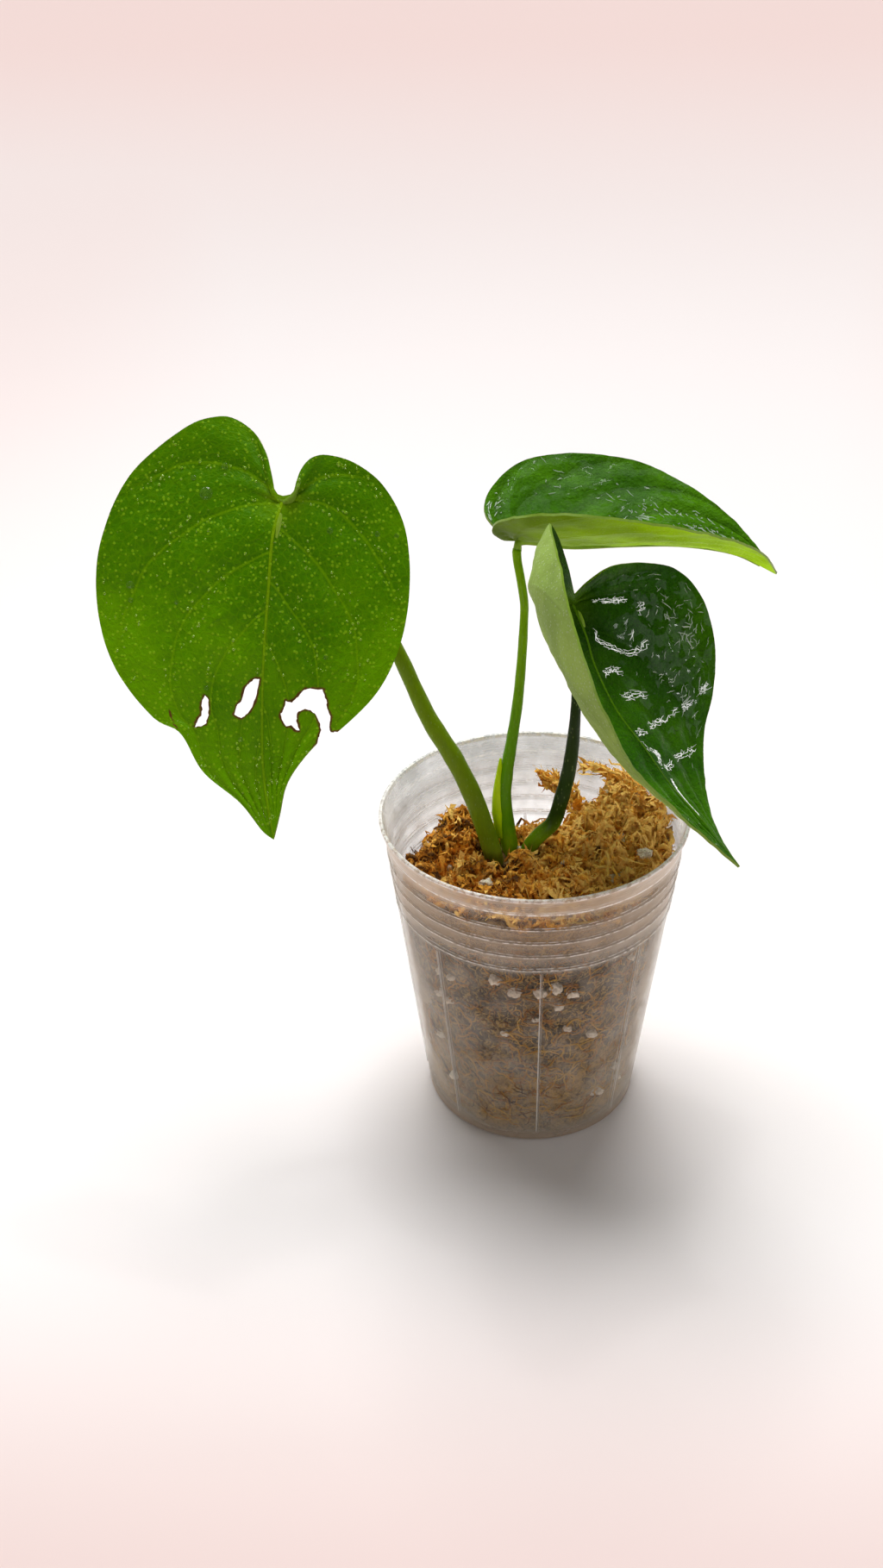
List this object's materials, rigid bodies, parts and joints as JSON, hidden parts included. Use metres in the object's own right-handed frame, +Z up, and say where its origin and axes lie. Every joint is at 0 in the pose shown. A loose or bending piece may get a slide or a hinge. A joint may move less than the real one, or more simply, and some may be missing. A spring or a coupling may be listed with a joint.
{
  "type": "potted cupcake monstera",
  "caption": "Young climbing aroid with heart-shaped leaves on tall curved stalks, rooted in moss in a clear tapered nursery pot.",
  "frame": {"origin": "centre of the pot's flat base, on the surface it stands on", "axes": "+Z up along the pot's axis, -Y towards the side that the picture shows, +X to the right as seen there"},
  "size_m": [0.1802, 0.1055, 0.2141],
  "materials": {
    "clear_pot": "satin",
    "moss_mix": "matte",
    "crown": "matte",
    "stalk_light": "satin",
    "stalk_dark": "satin",
    "leaf_light": "satin",
    "leaf_dark": "gloss"
  },
  "bodies": {
    "root": {"pot": "clear_pot", "growing_mix": "moss_mix", "stem_and_roots": "crown", "petiole_left": "stalk_light", "petiole_middle": "stalk_light", "petiole_right": "stalk_dark", "leaf_left": "leaf_light", "leaf_top": "leaf_dark", "leaf_right": "leaf_dark"}
  },
  "joints": []
}
